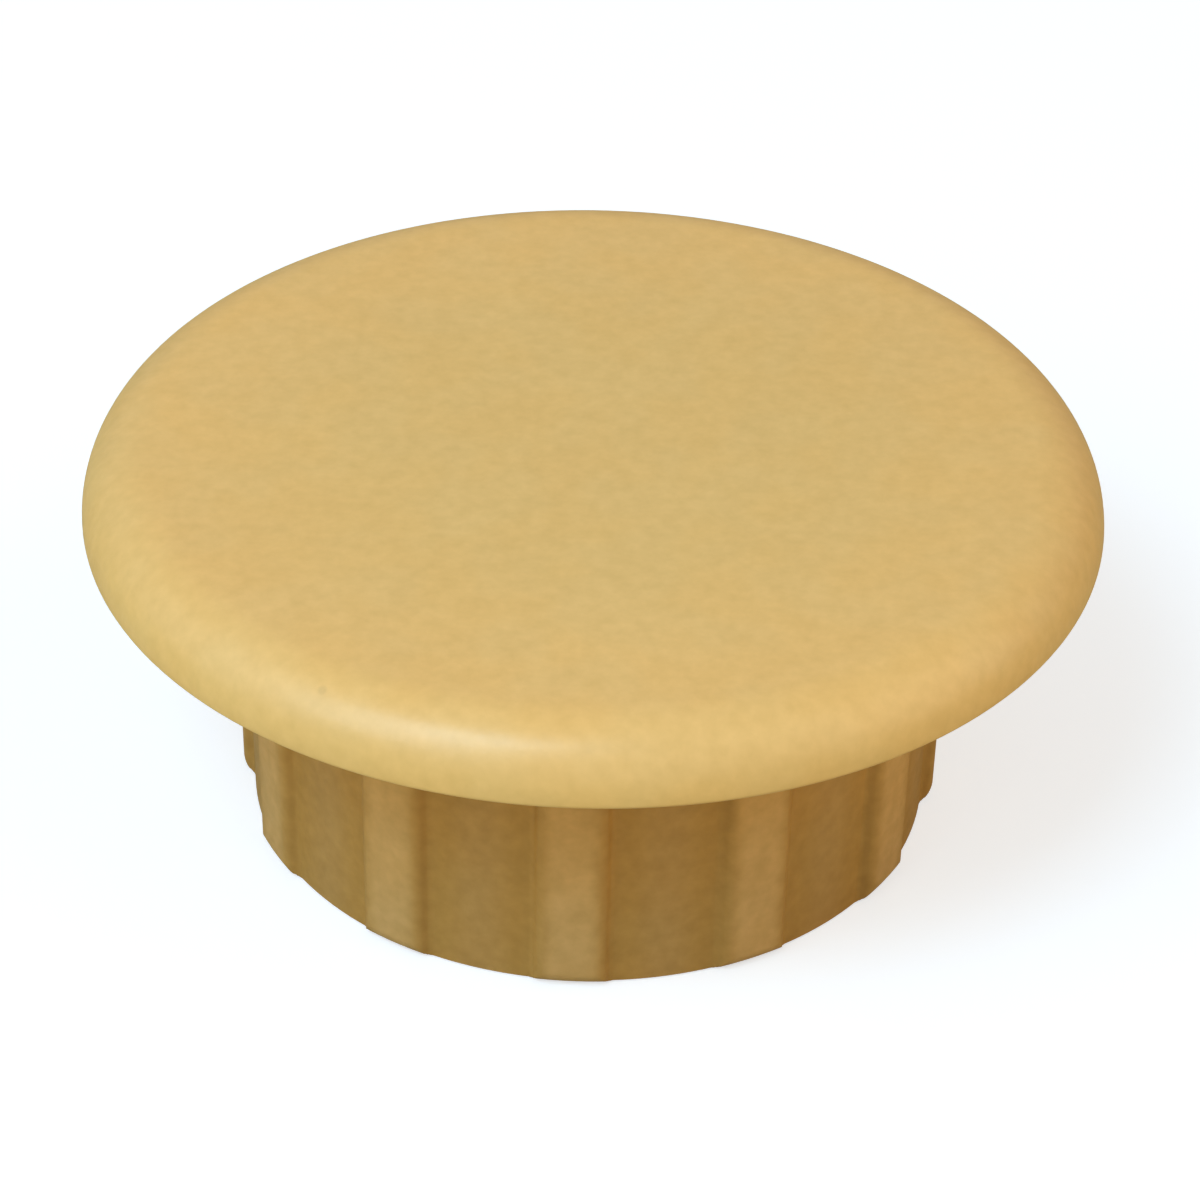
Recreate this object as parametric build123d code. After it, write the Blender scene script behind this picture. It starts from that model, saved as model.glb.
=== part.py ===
"""Hole plug: a push-in plastic cap that closes a 10 mm drilled hole.

One injection-moulded piece. The +Z axis runs up through the middle of the head. The origin is on
that axis at the head's underside, the face that comes to rest on the panel round the hole: the
head is above z = 0 and the ribbed, hollow stem is below it. All sizes are in millimetres.
"""
from build123d import *
import math
import os

# ---- Driving dimensions -------------------------------------------------------------------------
hole_diameter = 10.0        # drilled hole that the plug closes

head_diameter = 14.5        # covers the edge of the hole all round
head_height = 1.0           # underside to flat top
rim_land = 0.1              # upright band left below the large soft rounding of the top edge
lip_break = 0.06            # small edge break where that band meets the underside

stem_length = 4.8           # underside of the head to the stem's open end
stem_draft = 0.6            # degrees, the stem narrows downward to leave its mould
lead_in_radius = 0.28       # rounding of the stem's lower end, which starts it into the hole

rib_count = 12              # press-in ribs, evenly spaced, the first one on +X
rib_width = 1.0             # across a rib at the head, halfway up its flanks
rib_height = 0.17           # crest above the recessed panels between the ribs
rib_interference = 0.35     # circle over the crests, less the hole, on the diameter at the head
flank_slope = 30.0          # degrees that a rib's flanks lean in from upright
crest_radius = 0.18         # rounding of a rib's two long outer edges
root_radius = 0.12          # soft corner between a rib's flank and the panel beside it

wall = 1.1                  # stem wall behind the panels, at the head
web = 1.1                   # plastic left above the hollow
core_draft = 0.6            # degrees, the hollow widens downward to leave its core pin
ceiling_radius = 0.4        # inside corner between the hollow's wall and its ceiling
mouth_break = 0.15          # edge break inside the stem's open end

# ---- Sizes that follow --------------------------------------------------------------------------
head_radius = head_diameter / 2
rim_radius = head_height - rim_land

stem_end = -stem_length
crest_circle = (hole_diameter + rib_interference) / 2
crest_circle_end = crest_circle - stem_length * math.tan(math.radians(stem_draft))
panel_circle = crest_circle - rib_height

ceiling = head_height - web
hollow_radius = panel_circle - wall
hollow_radius_end = hollow_radius + (ceiling - stem_end) * math.tan(math.radians(core_draft))


def revolved(corners, rounded_corner, radius):
    """Turn a half section about Z. Corners are (radius, height), and one of them is rounded."""
    with BuildPart() as body:
        with BuildSketch(Plane.XZ):
            with BuildLine():
                Polyline(*corners, close=True)
            make_face()
            fillet(vertices().sort_by_distance(Vector(*rounded_corner))[0], radius)
        revolve(axis=Axis.Z)
    return body.part


def head():
    """Round cap, flat above and below, with its top edge rounded nearly down to the underside."""
    top_edge = (head_radius, head_height)
    corners = [
        (0, 0),
        (head_radius - lip_break, 0),
        (head_radius, lip_break),
        top_edge,
        (0, head_height),
    ]
    return revolved(corners, top_edge, rim_radius)


def rings_of(corners):
    """Corners grouped by their distance from the Z axis, the innermost ring first."""
    return corners.group_by(lambda corner: round(math.hypot(corner.X, corner.Y), 3))


def rib_outline():
    """Four corners round a rib on +X, whose flanks lean in from inside the panels to past the crest."""
    middle = crest_circle - rib_height / 2
    corners = []
    for distance, side in ((-1, -1), (1, -1), (1, 1), (-1, 1)):
        half_width = rib_width / 2 - distance * rib_height * math.tan(math.radians(flank_slope))
        corners.append((middle + distance * rib_height, side * half_width))
    return corners


def stem_section():
    """Cross-section of the stem at the head: a disc with low ribs, all their corners softened."""
    with BuildSketch() as section:
        Circle(panel_circle)
        with PolarLocations(0, rib_count):
            Polygon(*rib_outline(), align=None)
        Circle(crest_circle, mode=Mode.INTERSECT)
        fillet(rings_of(section.vertices())[0], root_radius)
        fillet(rings_of(section.vertices())[-1], crest_radius)
    return section.face()


def lead_in():
    """Envelope of the stem: the drafted circle over the crests, rounded off at its lower end."""
    lower_edge = (crest_circle_end, stem_end)
    corners = [(0, 0), (crest_circle, 0), lower_edge, (0, stem_end)]
    return revolved(corners, lower_edge, lead_in_radius)


def stem():
    """Ribbed stem, drafted by narrowing its section evenly from the head to the open end."""
    at_head = stem_section()
    at_end = Pos(0, 0, stem_end) * scale(at_head, crest_circle_end / crest_circle)
    return loft([at_head, at_end], ruled=True) & lead_in()


def hollow():
    """Cored inside of the stem, open at the lower end, as the mould's core pin leaves it."""
    ceiling_edge = (hollow_radius, ceiling)
    corners = [
        (0, stem_end),
        (hollow_radius_end + mouth_break, stem_end),
        (hollow_radius_end, stem_end + mouth_break),
        ceiling_edge,
        (0, ceiling),
    ]
    return revolved(corners, ceiling_edge, ceiling_radius)


hole_plug = head() + stem() - hollow()

os.makedirs("parts", exist_ok=True)
export_step(hole_plug, "parts/hole_plug.step")
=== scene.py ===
# %% [markdown]
# # A hole plug of satin tan plastic
# A hole plug is a small cap that is pushed into a drilled hole to close it. Its round head covers
# the edge of the hole, and its stem, with twelve low ribs, grips the hole's wall. It is one moulded
# piece, about as wide as a fingertip, so this lesson models one closed mesh, gives it one finish,
# and lights it softly on a pale floor.

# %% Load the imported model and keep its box
import math

import bmesh
import bpy
from mathutils import Matrix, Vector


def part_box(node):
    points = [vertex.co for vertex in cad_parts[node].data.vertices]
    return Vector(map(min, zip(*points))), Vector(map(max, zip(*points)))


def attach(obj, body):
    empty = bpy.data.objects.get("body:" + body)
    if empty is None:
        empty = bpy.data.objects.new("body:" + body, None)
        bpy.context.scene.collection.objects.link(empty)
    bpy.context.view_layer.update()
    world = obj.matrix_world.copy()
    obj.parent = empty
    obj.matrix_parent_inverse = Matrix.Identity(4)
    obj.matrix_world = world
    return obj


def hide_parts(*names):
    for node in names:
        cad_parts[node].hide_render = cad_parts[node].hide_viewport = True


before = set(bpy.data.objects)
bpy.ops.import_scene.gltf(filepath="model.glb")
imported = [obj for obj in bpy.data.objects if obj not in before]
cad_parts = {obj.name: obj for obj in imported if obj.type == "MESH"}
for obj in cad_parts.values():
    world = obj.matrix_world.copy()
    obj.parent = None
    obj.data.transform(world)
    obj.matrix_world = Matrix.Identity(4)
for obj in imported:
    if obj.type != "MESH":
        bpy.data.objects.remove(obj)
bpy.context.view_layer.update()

MM = 0.001

# %% [markdown]
# ## The sizes
# Every length is in metres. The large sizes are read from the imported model, so the new mesh has its
# exact width and height. The small ones, which a box can't tell, are written out as on a drawing.
# The origin is on the plug's axis at the underside of the head, and Z runs up. A hair is a length
# too small to see: points nearer than that to a place are taken to be there.

# %% Sizes of the head, the stem and the hollow
lowest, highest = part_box("hole_plug")
head_radius = highest.x
head_height = highest.z
rim_land = 0.1 * MM
rim_radius = head_height - rim_land
lip_break = 0.06 * MM

stem_end = lowest.z
stem_draft = math.tan(math.radians(0.6))
lead_in_radius = 0.28 * MM
rib_count = 12
rib_width = 1.0 * MM
rib_height = 0.17 * MM
crest_circle = 5.175 * MM
panel_circle = crest_circle - rib_height
flank_slope = math.radians(30)
crest_radius = 0.18 * MM
root_radius = 0.12 * MM

wall = 1.1 * MM
web = 1.1 * MM
hollow_radius = panel_circle - wall
ceiling = head_height - web
hollow_radius_end = hollow_radius + (ceiling - stem_end) * stem_draft
ceiling_radius = 0.4 * MM
mouth_break = 0.15 * MM

hair = 0.001 * MM
print(f"head {2 * head_radius / MM:.2f} mm wide, whole plug {(head_height - stem_end) / MM:.2f} mm high")

# %% [markdown]
# ## The outline of the stem
# Seen from below, the stem is a disc with twelve low ribs whose flanks slope and run out softly.
# A boolean union of a cylinder and twelve bars would give that shape, but it leaves uneven faces
# that shade badly along the roundings. A ring of points that is drawn into the outline, and then
# pulled down into walls, keeps all faces in clean rows. So it starts as a circle with sixteen
# points to a rib: six of them span the rib's crest and ten span the recessed panel beside it.

# %% Helpers that select points by their place, and turn or widen them about the axis
def distance_from_axis(place):
    return math.hypot(place.x, place.y)


def angle_round_axis(place):
    return math.atan2(place.y, place.x)


def select_points(wanted):
    """Select the points of the mesh in edit mode for which wanted(point) is true; say how many."""
    mesh = bmesh.from_edit_mesh(bpy.context.edit_object.data)
    for point in mesh.verts:
        point.select_set(False)
    for point in mesh.verts:
        if wanted(point):
            point.select_set(True)
    mesh.select_flush_mode()
    bmesh.update_edit_mesh(bpy.context.edit_object.data)
    return sum(point.select for point in mesh.verts)


def selected_places():
    mesh = bmesh.from_edit_mesh(bpy.context.edit_object.data)
    return [point.co.copy() for point in mesh.verts if point.select]


def selected_numbers():
    mesh = bmesh.from_edit_mesh(bpy.context.edit_object.data)
    return {point.index for point in mesh.verts if point.select}


def turn_about_axis(angle):
    """With no window the operator turns the other way, so it is given the angle's opposite."""
    bpy.ops.transform.rotate(value=-angle, orient_axis="Z", center_override=(0, 0, 0))


def widen_about_axis(factor):
    bpy.ops.transform.resize(value=(factor, factor, 1), center_override=(0, 0, 0))


# %% Start the ring
crest_points, panel_points = 6, 10
points_per_rib = crest_points + panel_points
bpy.ops.object.select_all(action="DESELECT")
bpy.ops.mesh.primitive_circle_add(
    vertices=rib_count * points_per_rib, radius=crest_circle, fill_type="NOTHING", location=(0, 0, 0)
)
plug = bpy.context.object
plug.name = plug.data.name = "plug_body"
bpy.ops.object.mode_set(mode="EDIT")
bpy.ops.mesh.select_mode(type="VERT")
print("ring of", len(plug.data.vertices), "points")

# %% Turn the points to their places on a rib and on the panel beside it
def spread(first, last, count):
    """Angles from first to last, evenly spaced, with both ends."""
    return [first + (last - first) * step / (count - 1) for step in range(count)]


rib_pitch = 2 * math.pi / rib_count
point_pitch = rib_pitch / points_per_rib
flank_run = rib_height / 2 * math.tan(flank_slope)
crest_half = math.asin((rib_width / 2 - flank_run) / crest_circle)
root_half = math.asin((rib_width / 2 + flank_run) / panel_circle)
places = spread(-crest_half, crest_half, crest_points)
places += spread(root_half, rib_pitch - root_half, panel_points)


def station(point):
    """Which of a rib's sixteen points this one is, counted from the rib's middle."""
    return round(angle_round_axis(point.co) / point_pitch) % points_per_rib


select_points(lambda point: True)
stations = {}
for number in range(points_per_rib):
    select_points(lambda point: station(point) == number)
    stations[number] = selected_numbers()
for number, place in enumerate(places):
    select_points(lambda point: point.index in stations[number])
    turn_about_axis(place - number * point_pitch)
    if number >= crest_points:
        widen_about_axis(panel_circle / crest_circle)
select_points(lambda point: True)
radii = sorted({round(distance_from_axis(place) / MM, 3) for place in selected_places()})
print("points stand at radii", radii, "mm")

# %% Round the ribs' corners
corner_segments = 6


def is_corner(half_angle, radius):
    """A test for the points at this angle to either side of a rib's middle, on this circle."""
    def test(point):
        off_middle = (angle_round_axis(point.co) + rib_pitch / 2) % rib_pitch - rib_pitch / 2
        on_flank = abs(abs(off_middle) - half_angle) * radius < hair
        return on_flank and abs(distance_from_axis(point.co) - radius) < hair
    return test


def round_corners(test, radius, turn):
    """Bevel the points that pass the test. Turn is the angle by which the outline changes there."""
    count = select_points(test)
    reach = radius * math.tan(turn / 2)
    bpy.ops.mesh.bevel(
        offset=reach, segments=corner_segments, profile=0.5, affect="VERTICES", clamp_overlap=False
    )
    return count


upright = math.pi / 2 - flank_slope
crest_turn = upright - crest_half * (1 - 1 / (crest_points - 1))
root_turn = upright - root_half - (rib_pitch - 2 * root_half) / (2 * (panel_points - 1))
crest_corners = round_corners(is_corner(crest_half, crest_circle), crest_radius, crest_turn)
root_corners = round_corners(is_corner(root_half, panel_circle), root_radius, root_turn)
bpy.ops.object.mode_set(mode="OBJECT")
print(crest_corners, "crest corners and", root_corners, "root corners rounded, the outline now has",
      len(plug.data.vertices), "points and", len(plug.data.edges), "edges")

# %% [markdown]
# ## The outside of the stem
# The outline is pulled down ring by ring. Each ring is a little narrower than the one above it,
# because a moulded stem tapers so that it can leave its mould. Near the open end the ribs and then
# the panels run into a rounding, the lead-in, that starts the plug into its hole. The rounding is
# one shape turned about the axis, so on each ring every point that stands outside it is drawn in
# to it, and the points that are already inside it stay on the tapered outline.

# %% Helpers that pull the next ring from the selected one
def ring_height():
    heights = [place.z for place in selected_places()]
    return sum(heights) / len(heights)


def next_ring(height, widen=1.0):
    """Extrude the selected ring to a new height, wider or narrower by a factor."""
    rise = height - ring_height()
    bpy.ops.mesh.extrude_region_move(TRANSFORM_OT_translate={"value": (0, 0, rise)})
    widen_about_axis(widen)


def make_round(radius):
    """Put every selected point on one circle about the axis."""
    bpy.ops.transform.tosphere(value=1.0, center_override=(0, 0, ring_height()))
    widen_about_axis(radius / distance_from_axis(selected_places()[0]))


def next_round_ring(height, radius):
    """Extrude a ring that is already round to a new height and radius."""
    next_ring(height, radius / distance_from_axis(selected_places()[0]))


def arc(centre_radius, centre_height, radius, first, last, steps):
    """Points (radius, height) along an arc, angles in degrees from outward, with both ends."""
    points = []
    for step in range(steps + 1):
        angle = math.radians(first + (last - first) * step / steps)
        out, rise = radius * math.cos(angle), radius * math.sin(angle)
        points.append((centre_radius + out, centre_height + rise))
    return points


# %% Pull the tapered walls down
def taper(height):
    """Width of the tapered stem at a height below the head, as a share of its width at the head."""
    narrowing = stem_draft * stem_end / crest_circle
    return 1 + narrowing * height / stem_end


bpy.ops.object.mode_set(mode="EDIT")
bpy.ops.mesh.select_all(action="SELECT")
wall_rows, lead_in_rows = 12, 14
lead_in_centre = stem_end + lead_in_radius
draft_angle = math.atan(stem_draft)
lead_in_start = lead_in_centre - lead_in_radius * math.sin(draft_angle)
for row in range(1, wall_rows + 1):
    height = lead_in_start * row / wall_rows
    next_ring(height, taper(height) / taper(ring_height()))
print(f"walls down to {ring_height() / MM:.2f} mm, {len(selected_places())} points to a ring")

# %% Draw the lower end in to the lead-in
centre_radius = crest_circle + lead_in_centre * stem_draft - lead_in_radius / math.cos(draft_angle)
lead_in = arc(
    centre_radius, lead_in_centre, lead_in_radius, -math.degrees(draft_angle), -90, lead_in_rows
)
for radius, height in lead_in[1:]:
    next_ring(height, taper(height) / taper(ring_height()))
    ring = selected_numbers()
    select_points(lambda point: point.index in ring and distance_from_axis(point.co) > radius)
    make_round(radius)
    select_points(lambda point: point.index in ring)
print(f"stem closed in to radius {radius / MM:.2f} mm at {ring_height() / MM:.2f} mm")

# %% [markdown]
# ## The open end and the hollow
# A thick plug would sink as it cools, so such a plug is hollow: a core pin in the mould leaves an
# even wall. A boolean cut would do it, but the same ring can simply turn round the lower edge and
# go up inside. The hollow widens downward by the stem's taper, so that the pin can be drawn out,
# and its ceiling meets the wall in a rounded corner. Where a flat face meets a rounding, one more
# ring close by keeps the flat shading flat.

# %% Turn in under the stem and go up the hollow
mouth_rows, inside_rows, corner_rows = 5, 6, 8
ceiling_shares = (0.97, 0.75, 0.5, 0.25, 0.08, 0)
close_by = 0.1 * MM


def hollow_wall(height):
    """Radius of the hollow at a height below its ceiling."""
    return hollow_radius + (ceiling - height) * stem_draft


mouth_edge = hollow_radius_end + mouth_break
mouth = arc(mouth_edge, stem_end + mouth_break, mouth_break, -90, -180, mouth_rows)
corner_height = ceiling - ceiling_radius
corner_centre = hollow_wall(corner_height) - ceiling_radius / math.cos(draft_angle)
corner = arc(corner_centre, corner_height, ceiling_radius, math.degrees(draft_angle), 90, corner_rows)
wall_foot, wall_top = mouth[-1][1], corner[0][1]
inside_wall = []
for row in range(1, inside_rows):
    height = wall_foot + (wall_top - wall_foot) * row / inside_rows
    inside_wall.append((hollow_wall(height), height))
flat_end = (mouth_edge + close_by, stem_end)
for radius, height in [flat_end] + mouth + inside_wall + corner:
    next_round_ring(height, radius)
for share in ceiling_shares:
    next_round_ring(ceiling, corner_centre * share)
print(f"hollow {2 * hollow_radius_end / MM:.2f} mm wide at the mouth, ceiling at {ceiling / MM:.2f} mm")

# %% [markdown]
# ## The head
# The head is flat above and below. Its top edge is one large soft rounding that begins just above
# the underside, and that rounding carries the highlight, so it gets the most rings. A plain quarter
# circle would show a line where it leaves the flat top, so the edge starts to turn slowly there.
# It could be bevelled from a cylinder, but the ring at the top of the stem is already there, and
# carrying it on outward, up and over keeps the whole plug one closed skin.

# %% Shape the head's soft edge
rim_run = 1.0 * MM
rim_lean = math.radians(88)
slow_start = 1.35
rim_rows = 28


def soft_edge(run, rise, steps):
    """Points (radius, height) up the head's edge, from its side in to the flat top."""
    path = [(0, 0)]
    for step in range(steps):
        lean = rim_lean * ((step + 0.5) / steps) ** slow_start
        path.append((path[-1][0] + math.cos(lean), path[-1][1] + math.sin(lean)))
    wide, deep = path[-1]
    start = head_radius - run
    points = [(start + run * out / wide, head_height - rise * down / deep) for out, down in path]
    return points[::-1]


print("edge is", round(rim_run / MM, 2), "mm wide and", round(rim_radius / MM, 2), "mm high")

# %% Carry the top ring of the stem outward, over the rim and in to the middle
lip_rows = 5
first_ring = crest_circle + 0.25 * MM
underside_middle = head_radius - 1.2 * MM
lip_edge = head_radius - lip_break
top_shares = (0.985, 0.9, 0.78, 0.64, 0.5, 0.36, 0.22, 0.1, 0.03, 0)
select_points(lambda point: abs(point.co.z) < hair)
next_ring(0)
make_round(first_ring)
underside = [(underside_middle, 0), (lip_edge - close_by, 0)]
lip = arc(lip_edge, lip_break, lip_break, -90, 0, lip_rows)
rim = soft_edge(rim_run, rim_radius, rim_rows)
for radius, height in underside + lip + rim:
    next_round_ring(height, radius)
for share in top_shares:
    next_round_ring(head_height, (head_radius - rim_run) * share)
print(f"head closed in at {ring_height() / MM:.2f} mm")

# %% Close the two middles, point the faces outward and smooth the roundings
crease_angle = math.radians(32)
bpy.ops.mesh.select_all(action="SELECT")
bpy.ops.mesh.remove_doubles(threshold=0.1 * hair)
bpy.ops.mesh.normals_make_consistent(inside=False)
bpy.ops.object.mode_set(mode="OBJECT")
bpy.ops.object.shade_smooth_by_angle(angle=crease_angle)
skin = bmesh.new()
skin.from_mesh(plug.data)
open_edges = sum(not edge.is_manifold for edge in skin.edges)
print(f"plug: {len(skin.faces)} faces, {open_edges} open edges, {skin.calc_volume() / MM ** 3:.1f} mm3")
skin.free()

# %% Say what the new mesh stands for
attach(plug, "root")
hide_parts("hole_plug")
print(plug.name, "stands for hole_plug")

# %% [markdown]
# ## A way to write finishes
# A material is a net of nodes. Placing and linking them one by one hides what the finish is, so
# sums on values are written as plain expressions: a small class wraps a socket, and each sign adds
# its Math node. Every other node comes from one method.

# %% A socket that can be added, multiplied and so on
class Value:
    def __init__(self, finish, socket):
        self.finish = finish
        self.socket = socket

    def maths(self, operation, *others):
        """A Math node that works on this value and on the others."""
        inputs = dict(enumerate((self, *others)))
        return self.finish.node("ShaderNodeMath", {"operation": operation}, inputs)

    def __add__(self, other):
        return self.maths("ADD", other)

    def __sub__(self, other):
        return self.maths("SUBTRACT", other)

    def __mul__(self, other):
        return self.maths("MULTIPLY", other)

    def __rsub__(self, other):
        return self * -1 + other

    __radd__ = __add__
    __rmul__ = __mul__

    def root(self):
        return self.maths("SQRT")

    def smooth_step(self, low, high):
        """0 below low, 1 above high, and an even curve between them."""
        settings = {"interpolation_type": "SMOOTHSTEP"}
        inputs = {"Value": self, "From Min": low, "From Max": high}
        return self.finish.node("ShaderNodeMapRange", settings, inputs)


class Finish:
    """A material, and the one method that adds its nodes."""

    def __init__(self, name):
        self.material = bpy.data.materials.new(name)
        self.material.use_nodes = True
        self.tree = self.material.node_tree
        self.tree.nodes.clear()

    def node(self, kind, settings, inputs, output=0):
        """Add a node: its settings first, then the values or links of its sockets."""
        made = self.tree.nodes.new(kind)
        for name, value in settings.items():
            setattr(made, name, value)
        for name, value in inputs.items():
            if isinstance(value, Value):
                self.tree.links.new(value.socket, made.inputs[name])
            else:
                made.inputs[name].default_value = value
        return Value(self, made.outputs[output]) if len(made.outputs) else None

    def blend(self, factor, first, second):
        """The first colour where the factor is 0, the second where it is 1, and mixes between."""
        settings = {"data_type": "RGBA"}
        return self.node("ShaderNodeMix", settings, {0: factor, 6: first, 7: second}, output=2)

    def times(self, colour, factor):
        """A colour made darker or lighter by a factor, or tinted by another colour."""
        return self.node("ShaderNodeVectorMath", {"operation": "MULTIPLY"}, {0: colour, 1: factor})

    def noise(self, place, size, detail=2.0):
        """Soft noise with features of about this size in metres, between 0 and 1."""
        inputs = {"Vector": place, "Scale": 1 / size, "Detail": detail}
        return self.node("ShaderNodeTexNoise", {}, inputs)


# %% [markdown]
# ## Satin tan plastic
# The plug is moulded in tan plastic with a satin skin: a wide soft highlight, no sharp mirror. The
# colour is not perfectly even. It is finely flecked, and where the melt flowed it turns a shade
# more orange or more green. Light and shade are painted into the colour too: the head's middle is
# paler as painted sheen and its rim warmer as painted light, and the stem is painted darker than the
# head as shade under the head's overhang, darker still outside on its panels and in the corners
# beside its ribs as painted shade. The fine texture of the mould breaks the highlight up. One plain
# colour would look like a drawing, and painting each tone by hand would stop at the seams, so the
# tones follow the plug's own shape: distance from the axis, height, and distance from the nearest
# rib. Colour, roughness and relief each get a soft noise as well. All of it reads object
# coordinates, so the pattern stays on the plastic from every side.

# %% Measure places on the plug for the finish
plastic = Finish("satin_tan_plastic")
place = plastic.node("ShaderNodeTexCoord", {}, {}, output=3)
split = plastic.node("ShaderNodeSeparateXYZ", {}, {"Vector": place}).socket.node
across, along, up = (Value(plastic, split.outputs[axis]) for axis in "XYZ")
from_axis = (across * across + along * along).root()
toward_rim = from_axis.smooth_step(0.35 * head_radius, 0.95 * head_radius)
on_stem = 1 - up.smooth_step(-0.15 * MM, 0.05 * MM)
down_stem = 1 - up.smooth_step(0.95 * stem_end, 0.15 * stem_end)
turn_from_rib = along.maths("ARCTAN2", across).maths("WRAP", rib_pitch / 2, -rib_pitch / 2)
from_rib = turn_from_rib.maths("ABSOLUTE") * from_axis
off_crest = from_rib.smooth_step(0.20 * MM, 0.52 * MM)
mid_panel = from_rib.smooth_step(0.70 * MM, 1.25 * MM)
outside = from_axis.smooth_step(panel_circle - 0.30 * MM, panel_circle - 0.10 * MM)
print("ribs stand", round(math.degrees(rib_pitch), 1), "degrees apart in the finish")

# %% Give the head and the stem their colours, with painted sheen, light and shade
# Painted sheen and light: the head's middle is paler, as sheen on the flat top, and its rim is warmer
# and brighter, as light on the rounding.
sheen_painted_middle_tan = (0.818, 0.531, 0.182, 1)
light_painted_rim_tan = (0.868, 0.542, 0.184, 1)
# Painted shade: the stem is darker and warmer than the head, as shade and warm bounced light under the
# head's overhang, and it turns darker and less saturated toward its open end.
shaded_stem_tan = (0.750, 0.403, 0.113, 1)
shaded_stem_end_tan = (0.618, 0.368, 0.130, 1)
# Painted shade: the panels between the ribs are darker than the crests, and darkest in the corners
# beside the ribs, as shade in the recesses. It is kept off the hollow.
crest_tint = (1, 1, 1, 1)
painted_corner_shade = (0.77, 0.70, 0.46, 1)
painted_panel_shade = (0.785, 0.74, 0.61, 1)
painted_shade_between_ribs = plastic.blend(mid_panel, painted_corner_shade, painted_panel_shade)
painted_rib_shade = plastic.blend(off_crest * outside, crest_tint, painted_shade_between_ribs)
head_colour = plastic.blend(toward_rim, sheen_painted_middle_tan, light_painted_rim_tan)
painted_shade_stem_colour = plastic.times(plastic.blend(down_stem, shaded_stem_tan, shaded_stem_end_tan), painted_rib_shade)
colour = plastic.blend(on_stem, head_colour, painted_shade_stem_colour)
print("head is", sheen_painted_middle_tan[:3], "in the middle, stem", shaded_stem_tan[:3], "at the head")

# %% Make the colour a little uneven
cloud_size, flow_size, fleck_size, grain_size = 1.6 * MM, 1.2 * MM, 0.22 * MM, 0.07 * MM
clouds = plastic.noise(place, cloud_size)
flow = plastic.noise(place, flow_size, detail=1.5)
flecks = plastic.noise(place, fleck_size, detail=3.0)
grain = plastic.noise(place, grain_size)
mean_noise = 0.5

orange_flow, green_flow = (1.008, 0.997, 0.975, 1), (0.992, 1.003, 1.025, 1)
dark_fleck, pale_fleck = (0.910, 0.895, 0.830, 1), (1.090, 1.105, 1.170, 1)
flow_tint = plastic.blend(flow.smooth_step(0.35, 0.65), orange_flow, green_flow)
fleck_depth = (flecks - mean_noise) * (1 + on_stem) + mean_noise
fleck_tint = plastic.blend(fleck_depth, dark_fleck, pale_fleck)
colour = plastic.times(plastic.times(colour, flow_tint), fleck_tint)
colour = plastic.times(colour, 0.98 + clouds * 0.04)
print("flecks of", round(fleck_size / MM, 2), "mm on flow marks of", round(flow_size / MM, 2), "mm")

# %% Put one faint speck on the rim
speck_turn, speck_lean = math.radians(-118.2), math.radians(56.4)
speck_core, speck_reach, speck_shade = 0.03 * MM, 0.09 * MM, 0.10
speck_radius = head_radius - rim_radius + rim_radius * math.cos(speck_lean)
speck_place = (
    speck_radius * math.cos(speck_turn),
    speck_radius * math.sin(speck_turn),
    rim_land + rim_radius * math.sin(speck_lean),
)
distance = {"operation": "DISTANCE"}
away = plastic.node("ShaderNodeVectorMath", distance, {0: place, 1: speck_place}, output=1)
past_speck = away.smooth_step(speck_core, speck_reach)
colour = plastic.times(colour, (1 - speck_shade) + past_speck * speck_shade)
print("speck at", [round(part / MM, 2) for part in speck_place], "mm")

# %% Give it a satin skin
satin, rougher_stem = 0.37, 0.10
unevenness = (grain - mean_noise) * 0.14 + (clouds - mean_noise) * 0.06
skin_roughness = satin + unevenness + on_stem * rougher_stem
relief = grain * 0.6 + flecks * 0.4
mould_texture = {"Strength": 0.3, "Distance": 0.01 * MM, "Height": relief}
bump = plastic.node("ShaderNodeBump", {}, mould_texture)
satin_skin = {"Base Color": colour, "Roughness": skin_roughness, "IOR": 1.58, "Normal": bump}
surface = plastic.node("ShaderNodeBsdfPrincipled", {}, satin_skin)
plastic.node("ShaderNodeOutputMaterial", {}, {"Surface": surface})
plug.data.materials.clear()
plug.data.materials.append(plastic.material)
print("plastic has", len(plastic.tree.nodes), "nodes")

# %% [markdown]
# ## Floor, lights and camera
# The plug stands on its open end on a pale floor. The light is that of a small product table. Two
# small soft boxes, close to the plug and high in front on the left, make the long highlight on the
# rim. Wide ones further off fill the sides, cool on the left as from a window and warm on the right
# and behind as from a room, so that the round edge turns in colour as well as in brightness. The
# floor throws a little warm light up on the stem. One bare lamp would give a hard spot and a black
# shadow. The camera sees the floor as white paper, and the plug keeps its soft shadow on it.

# %% Lay the floor
bpy.ops.object.select_all(action="DESELECT")
floor_width = 3
bpy.ops.mesh.primitive_plane_add(size=floor_width, location=(0, 0, stem_end))
floor = bpy.context.object
floor.name = floor.data.name = "floor"
paper = Finish("pale_floor")
sheet_colour, bounce_colour = (0.54, 0.60, 0.68, 1), (0.51, 0.47, 0.28, 1)
camera_ray = paper.node("ShaderNodeLightPath", {}, {}, output=0)
sheet = paper.node("ShaderNodeBsdfDiffuse", {}, {"Color": sheet_colour})
glow = paper.node("ShaderNodeEmission", {}, {"Color": (1, 1, 1, 1), "Strength": 0.6})
white_sheet = paper.node("ShaderNodeAddShader", {}, {0: sheet, 1: glow})
bounce = paper.node("ShaderNodeBsdfDiffuse", {}, {"Color": bounce_colour})
both = paper.node("ShaderNodeMixShader", {}, {0: camera_ray, 1: bounce, 2: white_sheet})
paper.node("ShaderNodeOutputMaterial", {}, {"Surface": both})
floor.data.materials.append(paper.material)
print("floor", floor_width, "m wide at", round(stem_end / MM, 2), "mm")

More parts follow.
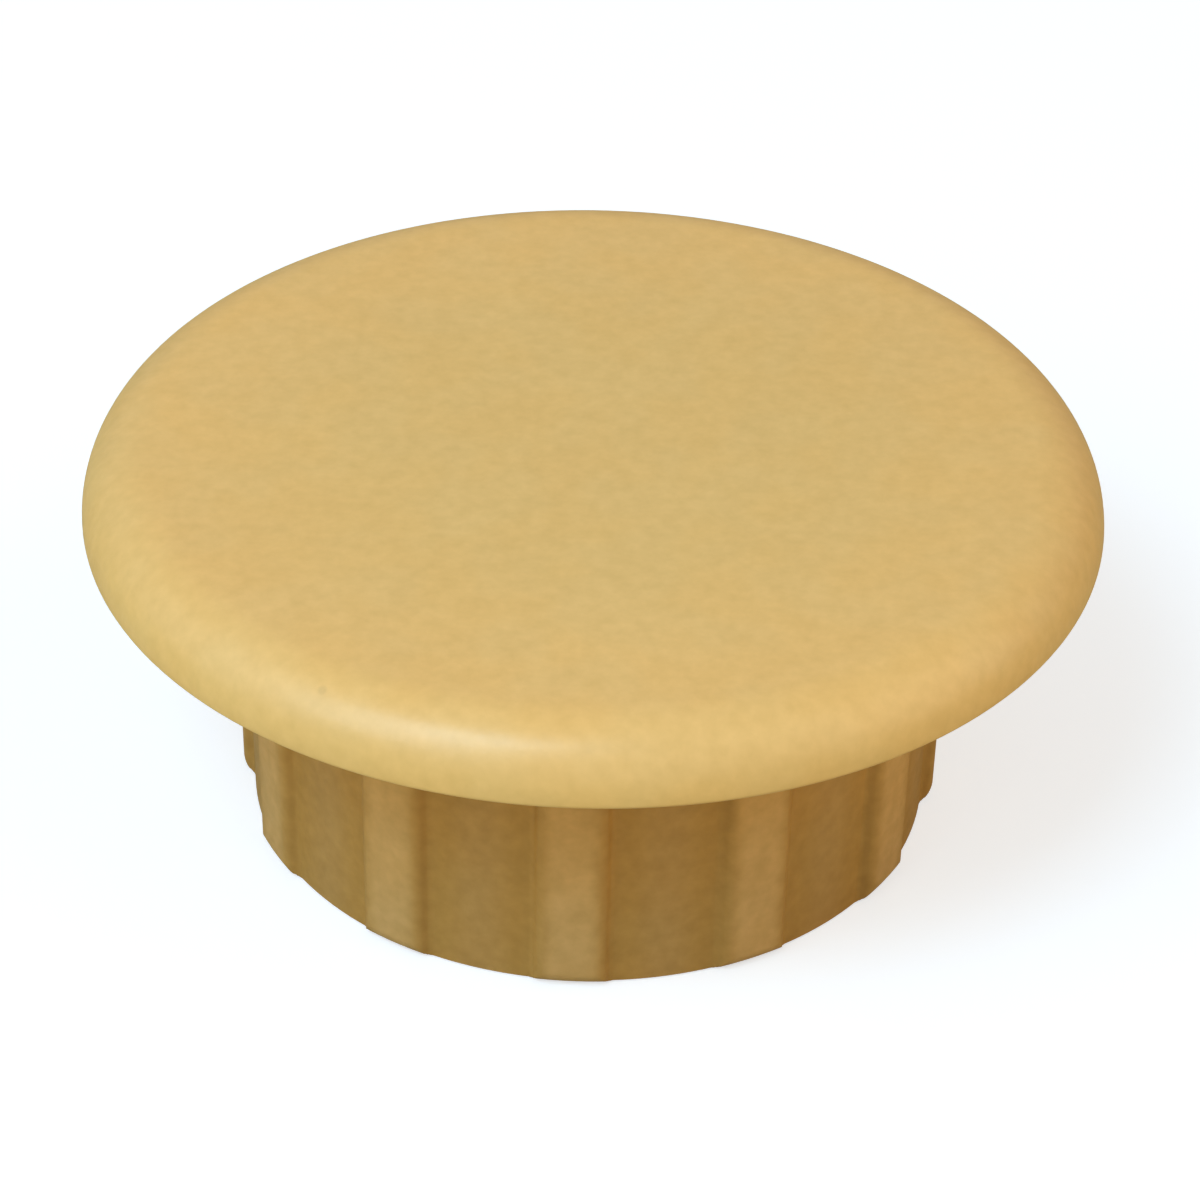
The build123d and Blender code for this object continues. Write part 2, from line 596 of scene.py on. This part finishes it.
# %% Hang the lamps
def soft_box(name, azimuth, elevation, distance, size, power, colour):
    """A square area lamp that looks at the plug. Azimuth 0 is in front, 90 to the right."""
    turn = Matrix.Rotation(math.radians(azimuth), 4, "Z")
    turn = turn @ Matrix.Rotation(math.radians(90 - elevation), 4, "X")
    bpy.ops.object.light_add(type="AREA")
    lamp = bpy.context.object
    lamp.name = lamp.data.name = name
    lamp.data.size = size
    lamp.data.energy = power
    lamp.data.color = colour
    lamp.matrix_world = turn @ Matrix.Translation((0, 0, distance))


sky, cool, white, warm = (0.59, 0.84, 1.0), (0.76, 0.91, 1.0), (0.88, 0.95, 1.0), (1.0, 0.80, 0.54)
soft_boxes = {  # azimuth and elevation in degrees, distance and size in metres, watts, colour
    "key_lamp": (-26, 56, 0.12, 0.036, 0.0342, sky),
    "window_lamp": (-43, 41, 0.12, 0.070, 0.0538, cool),
    "left_lamp": (-80, 30, 0.40, 0.40, 0.300, cool),
    "front_lamp": (0, 22, 0.40, 0.40, 0.150, white),
    "right_lamp": (78, 30, 0.40, 0.40, 0.615, warm),
    "back_lamp": (-150, 50, 0.40, 0.60, 0.180, warm),
}
for name, settings in soft_boxes.items():
    soft_box(name, *settings)
print("lamps", sorted(soft_boxes))

# %% Fill the room with a little even light
room_light, backdrop_light = 0.325, 1.0
world = bpy.data.worlds.new("studio")
bpy.context.scene.world = world
world.use_nodes = True
room = world.node_tree
room.nodes.clear()
ray = room.nodes.new("ShaderNodeLightPath")
level = room.nodes.new("ShaderNodeMix")
level.inputs["A"].default_value = room_light
level.inputs["B"].default_value = backdrop_light
room.links.new(ray.outputs["Is Camera Ray"], level.inputs["Factor"])
background = room.nodes.new("ShaderNodeBackground")
room.links.new(level.outputs["Result"], background.inputs["Strength"])
output = room.nodes.new("ShaderNodeOutputWorld")
room.links.new(background.outputs["Background"], output.inputs["Surface"])
print("room light", room_light, "and", backdrop_light, "to the camera")

# %% Set the camera
camera_azimuth = math.radians(2.06)
camera_elevation = math.radians(34.86)
camera_roll = math.radians(1.20)
camera_distance = 8 * head_radius
camera_lens = 121.944
to_the_right, to_the_top = 0.0126 * head_radius, -0.1995 * head_radius
turn = Matrix.Rotation(camera_azimuth, 4, "Z")
turn = turn @ Matrix.Rotation(math.pi / 2 - camera_elevation, 4, "X")
turn = turn @ Matrix.Rotation(camera_roll, 4, "Z")
bpy.ops.object.camera_add()
camera = bpy.context.object
camera.matrix_world = turn @ Matrix.Translation((to_the_right, to_the_top, camera_distance))
camera.data.sensor_width = 36
camera.data.lens = camera_lens
camera.data.clip_start = 1 * MM
camera.data.clip_end = 5
bpy.context.scene.camera = camera
bpy.context.scene.view_settings.view_transform = "Standard"
print(f"camera {camera_distance / MM:.0f} mm away, lens {camera.data.lens:.0f} mm")
